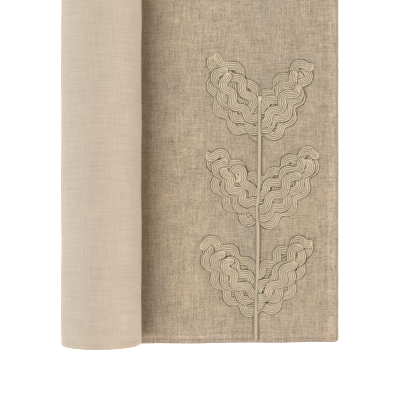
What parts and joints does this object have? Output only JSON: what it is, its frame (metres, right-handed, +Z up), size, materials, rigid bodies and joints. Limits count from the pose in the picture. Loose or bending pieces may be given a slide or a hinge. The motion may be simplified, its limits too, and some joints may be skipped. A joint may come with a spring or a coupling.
{
  "type": "table runner",
  "caption": "Lined linen table runner, rolled up from one end with its cotton lining outside, the free end lying flat with a leafy branch in wavy braid and cord.",
  "frame": {"origin": "on the table, below the middle of the part's bounding box", "axes": "+X along the runner towards its free end, +Y across its width from the stem's foot towards its tip, +Z up"},
  "size_m": [0.2706, 0.361, 0.0753],
  "materials": {
    "linen_face": "natural slubby linen, plain weave, matt",
    "cotton_lining": "smooth pale cotton, fine plain weave, matt",
    "sewing_thread": "spun sewing thread, matt",
    "stem_cord": "round cotton cord, close stitched, matt",
    "wavy_braid": "flat wavy cotton braid with fine lengthwise ribs, matt"
  },
  "bodies": {
    "root": {"face_linen": "linen_face", "leaf_1_left_heart": "wavy_braid", "leaf_1_left_high_rim": "wavy_braid", "leaf_1_left_low_rim": "wavy_braid", "leaf_1_left_second": "wavy_braid", "leaf_1_left_third": "wavy_braid", "leaf_1_right_heart": "wavy_braid", "leaf_1_right_high_rim": "wavy_braid", "leaf_1_right_low_rim": "wavy_braid", "leaf_1_right_second": "wavy_braid", "leaf_1_right_third": "wavy_braid", "leaf_2_left_heart": "wavy_braid", "leaf_2_left_high_rim": "wavy_braid", "leaf_2_left_low_rim": "wavy_braid", "leaf_2_left_second": "wavy_braid", "leaf_2_left_third": "wavy_braid", "leaf_2_right_heart": "wavy_braid", "leaf_2_right_high_rim": "wavy_braid", "leaf_2_right_low_rim": "wavy_braid", "leaf_2_right_second": "wavy_braid", "leaf_2_right_third": "wavy_braid", "leaf_3_left_heart": "wavy_braid", "leaf_3_left_high_rim": "wavy_braid", "leaf_3_left_low_rim": "wavy_braid", "leaf_3_left_second": "wavy_braid", "leaf_3_left_third": "wavy_braid", "leaf_3_right_heart": "wavy_braid", "leaf_3_right_high_rim": "wavy_braid", "leaf_3_right_low_rim": "wavy_braid", "leaf_3_right_second": "wavy_braid", "leaf_3_right_third": "wavy_braid", "lining_cotton": "cotton_lining", "stem_cord": "stem_cord", "topstitch_back": "sewing_thread", "topstitch_end": "sewing_thread", "topstitch_front": "sewing_thread"}
  },
  "joints": []
}
